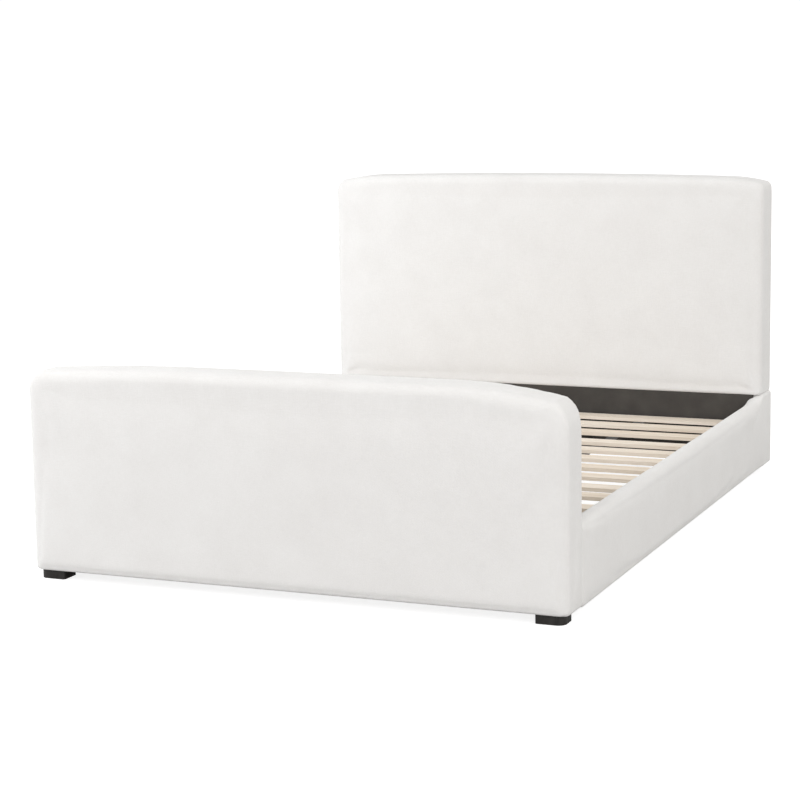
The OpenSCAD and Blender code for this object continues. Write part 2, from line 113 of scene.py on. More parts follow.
def add_camera():
    """A camera at the photograph's viewing angle, from the bed's front right corner."""
    yaw, pitch, roll = (math.radians(a) for a in (CAMERA_YAW, CAMERA_PITCH, CAMERA_ROLL))
    forward = Vector((-math.sin(yaw) * math.cos(pitch), math.cos(yaw) * math.cos(pitch), -math.sin(pitch)))
    right = Vector((math.cos(yaw), math.sin(yaw), 0))
    up = right.cross(forward)
    right, up = (right * math.cos(roll) + up * math.sin(roll), up * math.cos(roll) - right * math.sin(roll))
    data = bpy.data.cameras.new("camera")
    data.sensor_width = CAMERA_SENSOR_MM
    data.lens = CAMERA_LENS_MM
    data.clip_start, data.clip_end = 0.1, 200
    camera = bpy.data.objects.new("camera", data)
    place = Matrix((right, up, -forward)).transposed().to_4x4()
    place.translation = CAMERA_PLACE
    camera.matrix_world = place
    SCENE.collection.objects.link(camera)
    SCENE.camera = camera


def add_lamp(name, place, target, size, power, colour):
    """A rectangular lamp that faces its target."""
    data = bpy.data.lights.new(name, "AREA")
    data.color = colour
    data.shape, data.size, data.size_y = "RECTANGLE", size[0], size[1]
    data.energy = power
    light = bpy.data.objects.new(name, data)
    light.location = place
    light.rotation_mode = "QUATERNION"
    light.rotation_quaternion = (Vector(target) - Vector(place)).to_track_quat("-Z", "Y")
    SCENE.collection.objects.link(light)


def add_world():
    """Soft white light all round, which shades from one strength at the horizon to another overhead. The
    camera sees pure white behind the bed."""
    world = bpy.data.worlds.new("studio")
    SCENE.world = world
    world.use_nodes = True
    tree = world.node_tree
    tree.nodes.clear()
    path = tree.nodes.new("ShaderNodeLightPath")
    place = tree.nodes.new("ShaderNodeTexCoord")
    split = tree.nodes.new("ShaderNodeSeparateXYZ")
    strength = tree.nodes.new("ShaderNodeMapRange")
    seen = tree.nodes.new("ShaderNodeBackground")
    lit = tree.nodes.new("ShaderNodeBackground")
    mix = tree.nodes.new("ShaderNodeMixShader")
    out = tree.nodes.new("ShaderNodeOutputWorld")
    strength.inputs["To Min"].default_value = HORIZON_LIGHT
    strength.inputs["To Max"].default_value = OVERHEAD_LIGHT
    seen.inputs["Strength"].default_value = SEEN_WHITE
    seen.inputs["Color"].default_value = (1, 1, 1, 1)
    lit.inputs["Color"].default_value = (1, 0.997, 0.992, 1)
    tree.links.new(place.outputs["Generated"], split.inputs[0])
    tree.links.new(split.outputs["Z"], strength.inputs["Value"])
    tree.links.new(strength.outputs[0], lit.inputs["Strength"])
    tree.links.new(path.outputs["Is Camera Ray"], mix.inputs[0])
    tree.links.new(lit.outputs[0], mix.inputs[1])
    tree.links.new(seen.outputs[0], mix.inputs[2])
    tree.links.new(mix.outputs[0], out.inputs[0])


def add_floor():
    """A plain pale floor, seen bright enough that only faint contact shadows show on it."""
    mesh = bpy.data.meshes.new("floor")
    corners = [(x * FLOOR_HALF, y * FLOOR_HALF, 0) for x, y in ((-1, -1), (1, -1), (1, 1), (-1, 1))]
    mesh.from_pydata(corners, [], [(0, 1, 2, 3)])
    floor = bpy.data.objects.new("floor", mesh)
    SCENE.collection.objects.link(floor)
    material = bpy.data.materials.new("pale_floor")
    material.use_nodes = True
    tree = material.node_tree
    shader = tree.nodes["Principled BSDF"]
    shader.inputs["Base Color"].default_value = (FLOOR_GREY, FLOOR_GREY, FLOOR_GREY, 1)
    shader.inputs["Roughness"].default_value = 0.9
    shader.inputs["Specular IOR Level"].default_value = 0
    shader.inputs["Emission Color"].default_value = (1, 1, 1, 1)
    glow = tree.nodes.new("ShaderNodeMapRange")
    path = tree.nodes.new("ShaderNodeLightPath")
    glow.inputs["To Min"].default_value = 0
    glow.inputs["To Max"].default_value = FLOOR_GLOW
    tree.links.new(path.outputs["Is Camera Ray"], glow.inputs["Value"])
    tree.links.new(glow.outputs[0], shader.inputs["Emission Strength"])
    mesh.materials.append(material)


# ---- Materials ----

class Nodes:
    """Shorthand for building a material's nodes."""

    def __init__(self, name, colour, roughness, **sockets):
        self.material = bpy.data.materials.new(name)
        self.material.use_nodes = True
        self.tree = self.material.node_tree
        self.shader = self.tree.nodes["Principled BSDF"]
        self.shader.inputs["Base Color"].default_value = (*colour, 1)
        self.shader.inputs["Roughness"].default_value = roughness
        for socket, value in sockets.items():
            self.shader.inputs[socket.replace("_", " ")].default_value = value
        self.coords = self.tree.nodes.new("ShaderNodeTexCoord")

    def put(self, socket, value):
        if isinstance(value, bpy.types.NodeSocket):
            self.tree.links.new(value, socket)
        else:
            socket.default_value = value

    def math(self, operation, *values):
        node = self.tree.nodes.new("ShaderNodeMath")
        node.operation = operation
        for i, value in enumerate(values):
            self.put(node.inputs[i], value)
        return node.outputs[0]

    def vector(self, operation, *values):
        node = self.tree.nodes.new("ShaderNodeVectorMath")
        node.operation = operation
        for i, value in enumerate(values):
            self.put(node.inputs[i], value)
        return node.outputs[0]

    def scaled(self, vector, factor):
        output = self.vector("SCALE", vector)
        output.node.inputs["Scale"].default_value = factor
        return output

    def split(self, vector):
        node = self.tree.nodes.new("ShaderNodeSeparateXYZ")
        self.put(node.inputs[0], vector)
        return node.outputs

    def noise(self, vector, scale, detail=3.0, roughness=0.55, colour=False):
        node = self.tree.nodes.new("ShaderNodeTexNoise")
        self.put(node.inputs["Vector"], vector)
        node.inputs["Scale"].default_value = scale
        node.inputs["Detail"].default_value = detail
        node.inputs["Roughness"].default_value = roughness
        return node.outputs["Color" if colour else "Fac"]

    def voronoi(self, vector, scale):
        node = self.tree.nodes.new("ShaderNodeTexVoronoi")
        self.put(node.inputs["Vector"], vector)
        node.inputs["Scale"].default_value = scale
        return node.outputs["Distance"]

    def ramp(self, value, *stops):
        node = self.tree.nodes.new("ShaderNodeValToRGB")
        self.put(node.inputs[0], value)
        elements = node.color_ramp.elements
        while len(elements) < len(stops):
            elements.new(0.5)
        for element, (position, colour) in zip(elements, stops):
            element.position = position
            element.color = (*colour, 1)
        return node.outputs[0]

    def blend(self, share, a, b, mode="MIX"):
        node = self.tree.nodes.new("ShaderNodeMix")
        node.data_type, node.blend_type = "RGBA", mode
        for socket, value in ((node.inputs[0], share), (node.inputs[6], a), (node.inputs[7], b)):
            self.put(socket, value)
        return node.outputs[2]

    def bump(self, height, strength, distance):
        node = self.tree.nodes.new("ShaderNodeBump")
        self.put(node.inputs["Height"], height)
        node.inputs["Strength"].default_value = strength
        node.inputs["Distance"].default_value = distance
        return node.outputs[0]

    def finish(self, colour=None, roughness=None, normal=None):
        for name, value in (("Base Color", colour), ("Roughness", roughness), ("Normal", normal)):
            if value is not None:
                self.tree.links.new(value, self.shader.inputs[name])
        return self.material

    def across_faces(self, pattern, wobble):
        """pattern(u, v) laid on whichever of the three planes the surface faces, wandering by wobble."""
        place = self.coords.outputs["Object"]
        wander = self.vector("SUBTRACT", self.noise(place, 26, 2, 0.5, True), (0.5, 0.5, 0.5))
        x, y, z = self.split(self.vector("ADD", place, self.scaled(wander, wobble)))
        nx, ny, nz = (self.math("POWER", self.math("ABSOLUTE", n), 6)
                      for n in self.split(self.coords.outputs["Normal"]))
        total = self.math("ADD", self.math("ADD", nx, ny), self.math("ADD", nz, 0.0001))
        parts = [self.math("MULTIPLY", weight, pattern(u, v))
                 for weight, u, v in ((nx, y, z), (ny, x, z), (nz, x, y))]
        return self.math("DIVIDE", self.math("ADD", self.math("ADD", parts[0], parts[1]), parts[2]), total)


def weave(nodes, pitch):
    """A plain weave's height: threads of that pitch pass over and under each other."""
    def pattern(u, v):
        across = nodes.math("SINE", nodes.math("MULTIPLY", u, math.pi / pitch))
        along = nodes.math("SINE", nodes.math("MULTIPLY", v, math.pi / pitch))
        return nodes.math("MULTIPLY", across, along)
    return pattern


def cover_fabric():
    """Off-white upholstery cloth: a plain weave of slubby yarn with a soft, matte face, and painted shade in
    the hollows between its threads.
    """
    n = Nodes("cover_fabric", (0.80, 0.79, 0.77), 0.92, Sheen_Weight=0.25, Sheen_Roughness=0.5,
              Specular_IOR_Level=0.15)
    n.shader.inputs["Sheen Tint"].default_value = (1, 0.995, 0.985, 1)
    place = n.coords.outputs["Object"]
    threads = n.across_faces(weave(n, THREAD_PITCH), 0.004)
    slub_x = n.noise(n.vector("MULTIPLY", place, (60, 260, 900)), 1, 2)
    slub_z = n.noise(n.vector("MULTIPLY", place, (900, 260, 60)), 1, 2)
    slub = n.math("MULTIPLY", n.math("ADD", slub_x, slub_z), 0.5)
    fuzz = n.noise(place, 1400, 2)
    height = n.math("ADD", n.math("MULTIPLY", threads, 0.5),
                    n.math("ADD", n.math("MULTIPLY", slub, 0.9), n.math("MULTIPLY", fuzz, 0.35)))
    mottle = n.noise(place, 9, 4)
    tone = n.ramp(mottle, (0.25, (0.790, 0.784, 0.776)), (0.75, (0.825, 0.822, 0.816)))
    yarn = n.ramp(slub, (0.35, (0.94, 0.938, 0.932)), (0.65, WHITE))
    # Painted shade: the weave's low hollows between the threads are darkened
    thread_gap_painted_shade = n.ramp(threads, (0.0, (0.93, 0.925, 0.915)), (0.45, WHITE))
    colour = n.blend(1.0, n.blend(1.0, tone, yarn, "MULTIPLY"), thread_gap_painted_shade, "MULTIPLY")
    return n.finish(colour, None, n.bump(height, 0.5, 0.0012))


def lining_fabric():
    """Charcoal non-woven cloth with its rows of small pressed dots."""
    n = Nodes("lining_fabric", (0.054, 0.049, 0.044), 0.95, Sheen_Weight=0.15, Specular_IOR_Level=0.2)
    place = n.coords.outputs["Object"]
    dots = n.across_faces(weave(n, DOT_PITCH), 0.0004)
    fibres = n.noise(place, 700, 4, 0.7)
    tone = n.ramp(n.noise(place, 14, 5), (0.3, (0.045, 0.041, 0.037)), (0.7, (0.066, 0.061, 0.055)))
    pressed = n.ramp(dots, (0.55, WHITE), (0.8, (0.72, 0.72, 0.72)))
    height = n.math("SUBTRACT", n.math("MULTIPLY", fibres, 0.6), n.math("MULTIPLY", dots, 0.5))
    return n.finish(n.blend(1.0, tone, pressed, "MULTIPLY"), None, n.bump(height, 0.5, 0.0008))


def softwood(name, tones, axis, roughness, knots=0.05):
    """Planed softwood whose grain runs along an axis, with pores and now and then a knot."""
    pale, mid, dark = tones
    n = Nodes(name, mid, roughness, Specular_IOR_Level=0.35)
    place = n.coords.outputs["Object"]

    def stretched(along, across):
        return tuple(along if i == axis else across for i in range(3))

    warp = n.scaled(n.noise(place, 3.1, 2, 0.5, True), 0.03)
    rings = n.noise(n.vector("MULTIPLY", n.vector("ADD", place, warp), stretched(1.3, 42.0)), 1.6, 5, 0.6)
    pores = n.noise(n.vector("MULTIPLY", place, stretched(5, 900)), 1, 3)
    board = n.noise(n.vector("MULTIPLY", place, stretched(0.3, 9.5)), 1, 1)
    colour = n.ramp(rings, (0.30, pale), (0.52, mid), (0.72, dark))
    colour = n.blend(0.35, colour, n.ramp(board, (0.35, dark), (0.6, pale)))
    knot_place = n.vector("MULTIPLY", place, stretched(2.1, 5.3))
    knot = n.ramp(n.voronoi(knot_place, 1), (knots * 0.5, (0.42, 0.27, 0.15)), (knots, WHITE))
    colour = n.blend(1.0, colour, knot, "MULTIPLY")
    colour = n.blend(1.0, colour, n.ramp(pores, (0.32, (0.84, 0.80, 0.74)), (0.5, WHITE)), "MULTIPLY")
    height = n.math("ADD", n.math("MULTIPLY", rings, 0.6), n.math("MULTIPLY", pores, 0.5))
    rough = n.math("ADD", n.math("MULTIPLY", pores, 0.18), roughness - 0.1)
    return n.finish(colour, rough, n.bump(height, 0.35, 0.0006))


def plywood():
    """Sanded board: pale face veneer with a broad, wandering figure."""
    n = Nodes("plywood", (0.60, 0.46, 0.28), 0.7, Specular_IOR_Level=0.3)
    place = n.coords.outputs["Object"]
    figure = n.noise(n.vector("MULTIPLY", place, (1.2, 40, 9)), 1.5, 5, 0.6)
    flecks = n.noise(n.vector("MULTIPLY", place, (30, 600, 600)), 1, 2)
    colour = n.ramp(figure, (0.3, (0.66, 0.52, 0.34)), (0.6, (0.54, 0.40, 0.24)), (0.8, (0.44, 0.31, 0.17)))
    colour = n.blend(0.2, colour, n.ramp(flecks, (0.4, (0.4, 0.28, 0.16)), (0.6, (0.75, 0.62, 0.42))))
    return n.finish(colour, None, n.bump(flecks, 0.3, 0.0004))


def moulded_plastic(name, colour, roughness):
    """Moulded plastic with a fine spark-eroded grain, duller where it has been handled."""
    n = Nodes(name, colour, roughness, Specular_IOR_Level=0.45)
    place = n.coords.outputs["Object"]
    grain = n.voronoi(place, 900)
    scuffs = n.noise(n.vector("MULTIPLY", place, (40, 40, 12)), 1.5, 5, 0.65)
    tone = n.ramp(scuffs, (0.35, colour), (0.75, tuple(c * 2.2 + 0.004 for c in colour)))
    rough = n.math("ADD", n.math("MULTIPLY", scuffs, 0.3), roughness - 0.12)
    return n.finish(tone, rough, n.bump(grain, 0.25, 0.0003))


def powder_coat():
    """Black powder coat on steel: slight orange peel and a soft gloss."""
    n = Nodes("powder_coat", (0.018, 0.018, 0.019), 0.45)
    place = n.coords.outputs["Object"]
    peel = n.noise(place, 420, 3)
    tone = n.ramp(n.noise(place, 30, 4), (0.3, (0.014, 0.014, 0.015)), (0.8, (0.030, 0.030, 0.031)))
    return n.finish(tone, n.math("ADD", n.math("MULTIPLY", peel, 0.2), 0.34), n.bump(peel, 0.2, 0.0003))


def zinc_plate():
    """Bright zinc on fasteners, with turning marks and a little dulling."""
    n = Nodes("zinc_plate", (0.62, 0.63, 0.65), 0.34, Metallic=1.0)
    place = n.coords.outputs["Object"]
    marks = n.noise(n.vector("MULTIPLY", place, (300, 2600, 2600)), 1, 3)
    bloom = n.noise(place, 160, 4)
    tone = n.ramp(bloom, (0.3, (0.52, 0.53, 0.55)), (0.7, (0.70, 0.71, 0.72)))
    return n.finish(tone, n.math("ADD", n.math("MULTIPLY", bloom, 0.3), 0.2), n.bump(marks, 0.15, 0.0002))


def webbing_tape():
    """Black woven polypropylene tape with ribs across it."""
    n = Nodes("webbing_tape", (0.020, 0.020, 0.021), 0.7, Specular_IOR_Level=0.35, Sheen_Weight=0.1)
    place = n.coords.outputs["Object"]
    x, y, _ = n.split(place)
    ribs = n.math("SINE", n.math("MULTIPLY", y, 2 * math.pi / RIB_PITCH))
    chevrons = n.math("SINE", n.math("MULTIPLY", x, 2 * math.pi / CHEVRON_PITCH))
    height = n.math("ADD", ribs, n.math("MULTIPLY", chevrons, 0.5))
    tone = n.ramp(n.noise(place, 60, 3), (0.3, (0.015, 0.015, 0.016)), (0.7, (0.030, 0.030, 0.031)))
    return n.finish(tone, None, n.bump(height, 0.5, 0.0005))


# ---- Mesh helpers ----

def new_object(name, vertices, faces):
    mesh = bpy.data.meshes.new(name)
    mesh.from_pydata([tuple(v) for v in vertices], [], faces)
    mesh.validate()
    piece = bpy.data.objects.new(name, mesh)
    SCENE.collection.objects.link(piece)
    tidy_normals(piece)
    return piece


def tidy_normals(piece):
    bm = bmesh.new()
    bm.from_mesh(piece.data)
    bmesh.ops.remove_doubles(bm, verts=bm.verts, dist=1e-6)
    bmesh.ops.recalc_face_normals(bm, faces=bm.faces)
    bm.to_mesh(piece.data)
    bm.free()


def shade_smooth(piece):
    piece.data.polygons.foreach_set("use_smooth", [True] * len(piece.data.polygons))


def loft(name, rings):
    """A closed solid through rings of points, each with the same count, capped at both ends."""
    count = len(rings[0])
    vertices = [p for ring in rings for p in ring]
    faces = []
    for r in range(len(rings) - 1):
        for i in range(count):
            j = (i + 1) % count
            faces.append((r * count + i, r * count + j, (r + 1) * count + j, (r + 1) * count + i))
    faces.append(tuple(range(count)))
    faces.append(tuple((len(rings) - 1) * count + i for i in reversed(range(count))))
    return new_object(name, vertices, faces)


def points_of(piece):
    flat = np.zeros(len(piece.data.vertices) * 3)
    piece.data.vertices.foreach_get("co", flat)
    return flat.reshape(-1, 3)


def set_points(piece, points):
    piece.data.vertices.foreach_set("co", points.astype(np.float32).ravel())
    piece.data.update()


def apply_modifiers(piece):
    depsgraph = bpy.context.evaluated_depsgraph_get()
    mesh = bpy.data.meshes.new_from_object(piece.evaluated_get(depsgraph))
    piece.modifiers.clear()
    piece.data = mesh


def voxel_remesh(piece, voxel):
    remesh = piece.modifiers.new("remesh", "REMESH")
    remesh.mode, remesh.voxel_size = "VOXEL", voxel
    apply_modifiers(piece)


def ramp_up(values, start, run):
    """0 up to the start, then rising evenly to 1 over the run."""
    return np.clip((values - start) / run, 0, 1)


def ramp_down(values, start, run):
    """1 up to the start, then falling evenly to 0 over the run."""
    return np.clip(1 - (values - start) / run, 0, 1)


def inflate(piece, held, cap):
    """Lets the cover swell as cloth over its foam, by less than the cap. held(points) is each point's hold,
    1 where it is fixed."""
    start = points_of(piece)
    group = piece.vertex_groups.new(name="held")
    for index, weight in enumerate(held(start)):
        if weight > 0:
            group.add([index], float(weight), "REPLACE")
    cloth = piece.modifiers.new("cloth", "CLOTH")
    settings = cloth.settings
    settings.quality = 4
    settings.mass = 0.3
    settings.tension_stiffness = settings.compression_stiffness = 12
    settings.shear_stiffness = 8
    settings.bending_stiffness = 1.5
    settings.use_pressure = True
    settings.uniform_pressure_force = SWELL_PRESSURE
    settings.vertex_group_mass = "held"
    settings.effector_weights.gravity = 0
    cloth.collision_settings.use_collision = False
    SCENE.frame_start, SCENE.frame_end = 1, SWELL_FRAMES
    for step in range(1, SWELL_FRAMES + 1):
        SCENE.frame_set(step)
    apply_modifiers(piece)
    SCENE.frame_set(1)
    moved = points_of(piece) - start
    distance = np.linalg.norm(moved, axis=1, keepdims=True)
    limited = cap * np.tanh(distance / cap)
    set_points(piece, start + moved * limited / np.maximum(distance, 1e-9))


def soften(piece, rounds):
    smooth = piece.modifiers.new("smooth", "SMOOTH")
    smooth.factor, smooth.iterations = 0.5, rounds
    apply_modifiers(piece)


def subdivide(piece):
    more = piece.modifiers.new("subdivision", "SUBSURF")
    more.levels = more.render_levels = 1
    apply_modifiers(piece)


def ripple(points, seed):
    """A gentle, repeatable unevenness between -1 and 1, from a few crossing waves."""
    rng = np.random.default_rng(seed)
    total = np.zeros(len(points))
    for _ in range(LUMP_WAVES):
        direction = rng.normal(size=3)
        direction /= np.linalg.norm(direction)
        length = LUMP_LENGTH * rng.uniform(0.7, 1.6)
        total += np.sin(points @ direction * 2 * math.pi / length + rng.uniform(0, 2 * math.pi))
    return total / LUMP_WAVES


def stuff(piece, voxel, held, swell, lumps, seed):
    """Remeshes a rough form, lets it swell, and smooths it into a padded cover that keeps the form's edges.
    lumps is how high its unevenness is where nothing holds it."""
    form = BVHTree.FromObject(piece, bpy.context.evaluated_depsgraph_get())
    voxel_remesh(piece, voxel)
    soften(piece, 1)
    inflate(piece, held, swell)
    soften(piece, 2)
    subdivide(piece)
    fill_out(piece, form)
    soften(piece, 1)
    points = points_of(piece)
    hold = np.asarray(held(points))[:, None]
    normals = np.zeros(len(points) * 3)
    piece.data.vertices.foreach_get("normal", normals)
    heights = ripple(points, seed)[:, None] * lumps
    set_points(piece, points + normals.reshape(-1, 3) * heights * (1 - hold))
    shade_smooth(piece)


def fill_out(piece, form):
    """Brings every point that smoothing left inside the form back out to its surface."""
    points = points_of(piece)
    for index, point in enumerate(points):
        place = Vector(point)
        near, normal, _, _ = form.find_nearest(place)
        if (place - near).dot(normal) < 0:
            points[index] = near
    set_points(piece, points)


# ---- Outlines ----

def arc(cx, cz, rx, rz, start, stop, steps):
    """Points on an ellipse's arc from the start angle to the stop angle, in degrees."""
    angles = [math.radians(start + (stop - start) * i / steps) for i in range(steps + 1)]
    return [(cx + rx * math.cos(a), cz + rz * math.sin(a)) for a in angles]


def fall(share, shape):
    """How far a board's top lies below its middle, at a share of the way out to its right corner, or to its
    left one where the share is below 0."""
    crown, left, right = shape
    shoulder, start = left if share < 0 else right
    return crown * share ** 2 + shoulder * max(0.0, (abs(share) - start) / (1 - start)) ** 2


def board_outline(half, low, high, corners, opened, base_corner, shape):
    """A board's outline in X and Z: rounded bottom corners, straight sides, and a crowned top with its
    shoulders. opened widens its rounded top corners."""
    (left_x, left_z), (right_x, right_z) = [(across + opened, down + opened) for across, down in corners]
    flat_left, flat_right = half - left_x, half - right_x
    crown_steps = 40
    shares = [1 - i / crown_steps for i in range(1, 2 * crown_steps)]
    crown = [(share * (flat_left if share < 0 else flat_right), high - fall(share, shape))
             for share in shares]
    foot = half - base_corner
    return (arc(-foot, low + base_corner, base_corner, base_corner, 180, 270, 5)
            + [(foot * (i / 6 - 1), low) for i in range(1, 12)]
            + arc(foot, low + base_corner, base_corner, base_corner, 270, 360, 5)
            + arc(flat_right, high - fall(1, shape) - right_z, right_x, right_z, 0, 90, 12)
            + crown
            + arc(-flat_left, high - fall(-1, shape) - left_z, left_x, left_z, 90, 180, 12))


def rolled(depth, across, deep):
    """How far a rolled edge lies inside the outline at a depth behind the front: an ellipse's quarter."""
    reach = min(1.0, depth / deep)
    return across * (1 - math.sqrt(max(0.0, 1 - (1 - reach) ** 2)))


def rolled_board(name, half, low, high, corners, shape, front, back, side, top, bottom, spread, rounding,
                 base_corner, back_roll):
    """A board whose front edges roll over. side, top and bottom say how far in and how deep each roll goes.
    spread widens the side's roll towards the top, and rounding opens the top corners as the roll comes
    forward."""
    reach = max(side[1], top[1], bottom[1])
    steps = 14
    rings = []

    def ring(y, a, b, c):
        outline = board_outline(half, low + c, high - b, corners, b * rounding, base_corner + c * 0.5, shape)
        narrowing = [a * (1 + spread * (2 * (z - low) / (high - low) - 1)) / half for _, z in outline]
        rings.append([(x * (1 - share), y, z) for (x, z), share in zip(outline, narrowing)])

    for i in range(steps + 1):
        depth = reach * (1 - math.cos(HALF_PI * i / steps))
        ring(front + depth, rolled(depth, *side), rolled(depth, *top), rolled(depth, *bottom))
    for i in range(steps + 1):
        angle = HALF_PI * i / steps
        inward = back_roll * (1 - math.cos(angle))
        ring(back - back_roll * (1 - math.sin(angle)), inward, inward, inward)
    return loft(name, rings)


# ---- Headboard ----

def headboard_cover(cloth):
    """The cover over the headboard's foam. It is held at the back and along the underside."""
    half, low, high = HEAD_HIGH.x + 0.001, HEAD_LOW.z, HEAD_HIGH.z - 0.003
    front, back = HEAD_LOW.y + BOARD_SWELL, HEAD_BACK - 0.004
    piece = rolled_board("headboard_cover", half, low, high, HEAD_CORNERS, HEAD_SHAPE, front, back,
                         side=(0.042, 0.012), top=(0.034, 0.032), bottom=(0.012, 0.010), spread=0.15,
                         rounding=1.3, base_corner=0.005, back_roll=0.006)

    def held(points):
        behind = ramp_up(points[:, 1], back - BACK_HOLD, BACK_HOLD_RUN)
        under = ramp_down(points[:, 2], low, 0.012) * ramp_up(points[:, 1], front + 0.02, 0.02)
        return np.maximum(behind, under)

    stuff(piece, BOARD_VOXEL, held, BOARD_SWELL, BOARD_LUMPS, seed=3)
    piece.data.materials.append(cloth)
    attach(piece, STATIC)
    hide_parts("headboard_pad")


def headboard_back_cover(cloth):
    """The panel that closes the back: full width above the rails, narrower between them. tuck is how far its
    edge draws in towards the very back."""
    inset, thickness = 0.016, 0.010
    front, back = HEAD_BACK - thickness, HEAD_BACK
    rings = []
    for y, tuck in ((front, 0.0), (back - 0.004, 0.0), (back - 0.0012, 0.0015), (back, 0.005)):
        half, lower_half = HEAD_HIGH.x - inset - tuck, RAIL_LOW.x + 0.001 - tuck
        low, step = BACK_PANEL_BOTTOM + tuck, HEAD_LOW.z + 0.004 + tuck
        top = board_outline(half, HEAD_LOW.z, HEAD_HIGH.z - inset - tuck, HEAD_CORNERS, 0, 0.006, HEAD_SHAPE)
        upper = [p for p in top if p[1] > HEAD_LOW.z + 0.02]
        outline = ([(-lower_half, low), (lower_half, low), (lower_half, step), (half, step)]
                   + upper + [(-half, step), (-lower_half, step)])
        rings.append([(x, y, z) for x, z in outline])
    piece = loft("headboard_back_cover", rings)
    edges = piece.modifiers.new("edges", "BEVEL")
    edges.width, edges.segments, edges.limit_method = 0.0012, 2, "ANGLE"
    apply_modifiers(piece)
    piece.data.materials.append(cloth)
    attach(piece, STATIC)
    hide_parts("headboard_back_panel")


def headboard_lining_panel(cloth):
    """Charcoal cloth drawn over the board between the slats and the pad. The pad hides its upper edge, and
    the rails' covers hide its ends."""
    overlap = 0.028
    low = Vector((LINING_LOW.x - overlap, LINING_LOW.y, LINING_LOW.z))
    high = Vector((LINING_HIGH.x + overlap, LINING_HIGH.y + 0.0005, LINING_HIGH.z + 0.006))
    panel("headboard_lining_panel", low, high, -1, 0.0012, cloth, "headboard_lining")


def panel(name, low, high, facing, slack, cloth, node):
    """A cloth-covered panel across the bed, whose face towards the mattress is softly uneven. facing is -1
    for a face towards the foot and 1 for one towards the head. slack is how far the cloth sinks at most."""
    columns, rows = 150, 20
    edge_round, slack_run = 0.0012, 0.02
    thick = high.y - low.y
    base = high.y if facing < 0 else low.y
    wide = columns + 1
    vertices, faces = [], []
    for j in range(rows + 1):
        for i in range(columns + 1):
            x = low.x + (high.x - low.x) * i / columns
            z = low.z + (high.z - low.z) * j / rows
            inside = min(x - low.x, high.x - x, z - low.z, high.z - z)
            slack_here = slack * min(1.0, inside / slack_run)
            # Crossing waves, between 0 and 1
            wave = 0.5 + 0.28 * math.sin(x * 21 + 2.1 * math.sin(z * 9)) + 0.22 * math.sin(x * 47 + z * 30)
            lift = thick - edge_round * (inside < 1e-9) - slack_here * wave
            vertices.append((x, base + facing * lift, z))
    for j in range(rows):
        for i in range(columns):
            a = j * wide + i
            faces.append((a, a + 1, a + 1 + wide, a + wide))
    front_count = len(vertices)
    border = (list(range(wide)) + [j * wide + columns for j in range(1, rows + 1)]
              + [rows * wide + i for i in reversed(range(columns))]
              + [j * wide for j in reversed(range(1, rows))])
    for index in border:
        x, _, z = vertices[index]
        vertices.append((x, base, z))
    for k in range(len(border)):
        m = (k + 1) % len(border)
        faces.append((border[k], border[m], front_count + m, front_count + k))
    faces.append(tuple(front_count + k for k in range(len(border))))
    piece = new_object(name, vertices, faces)
    piece.data.materials.append(cloth)
    shade_smooth(piece)
    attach(piece, STATIC)
    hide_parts(node)


# ---- Footboard ----

def footboard_cover(cloth):
    """The cover over the footboard's foam, front and back. It is held at the back and along the bottom."""
    half, low, high = FOOT_HIGH.x, FOOT_LOW.z, FOOT_HIGH.z - 0.007
    front, back = FOOT_LOW.y, FOOT_BACK
    piece = rolled_board("footboard_cover", half, low, high, FOOT_CORNERS, FOOT_SHAPE, front, back,
                         side=(0.042, 0.017), top=(0.034, 0.032), bottom=(0.007, 0.007), spread=0.25,
                         rounding=0.5, base_corner=0.008, back_roll=0.002)

    def held(points):
        behind = ramp_up(points[:, 1], back - BACK_HOLD, BACK_HOLD_RUN)
        under = ramp_down(points[:, 2], low, 0.02)
        return np.maximum(behind, under)

    stuff(piece, BOARD_VOXEL, held, BOARD_SWELL, BOARD_LUMPS, seed=5)
    piece.data.materials.append(cloth)
    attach(piece, STATIC)
    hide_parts("footboard_pad", "footboard_back_panel")


def footboard_lining_panel(cloth):
    """A strip of the same charcoal cloth on the footboard, below the mattress."""
    panel("footboard_lining_panel", FOOT_LINING_LOW, FOOT_LINING_HIGH, 1, 0.0006, cloth, "footboard_lining")


# ---- Side rails ----

def rail_end_share(y):
    """0 along most of a rail, rising ever faster to 1 just under the headboard pad."""
    return min(1.0, max(0.0, 1 - (HEAD_LOW.y + RAIL_RISE_END - y) / RAIL_RISE_RUN)) ** 3


def rail_section(y, inset):
    """One ring of the right-hand rail's cover: a tall rounded rectangle in X and Z. Towards the head its
    outer upper edge sharpens and its inner one rounds off, and well beneath the headboard pad the inner one
    is sharp. inset draws the ring in at the rail's back end."""
    end = rail_end_share(y)
    sharp_from, sharp_run = 0.05, 0.05
    beneath = min(1.0, max(0.0, (y - HEAD_LOW.y - sharp_from) / sharp_run))
    x0, x1 = RAIL_LOW.x + 0.0004, RAIL_HIGH.x + 0.0005 + 0.0025 * end - inset
    z0, z1 = RAIL_LOW.z - 0.003 + inset * 0.3, RAIL_TOP + RAIL_RISE * end - inset * 0.4
    edge, bottom = 0.022, 0.005
    outer, inner = edge - 0.012 * end, edge + 0.014 * end - 0.031 * beneath
    ring = (arc(x0 + bottom, z0 + bottom, bottom, bottom, 180, 270, 4)
            + arc(x1 - bottom, z0 + bottom, bottom, bottom, 270, 360, 4)
            + [(x1, z0 + (z1 - z0) * i / 8) for i in range(1, 7)]
            + arc(x1 - outer, z1 - outer, outer, outer, 0, 90, 6)
            + arc(x0 + inner, z1 - inner, inner, inner, 90, 180, 5)
            + [(x0, z1 - (z1 - z0) * i / 8) for i in range(1, 7)])
    return [(x, y, z) for x, z in ring]


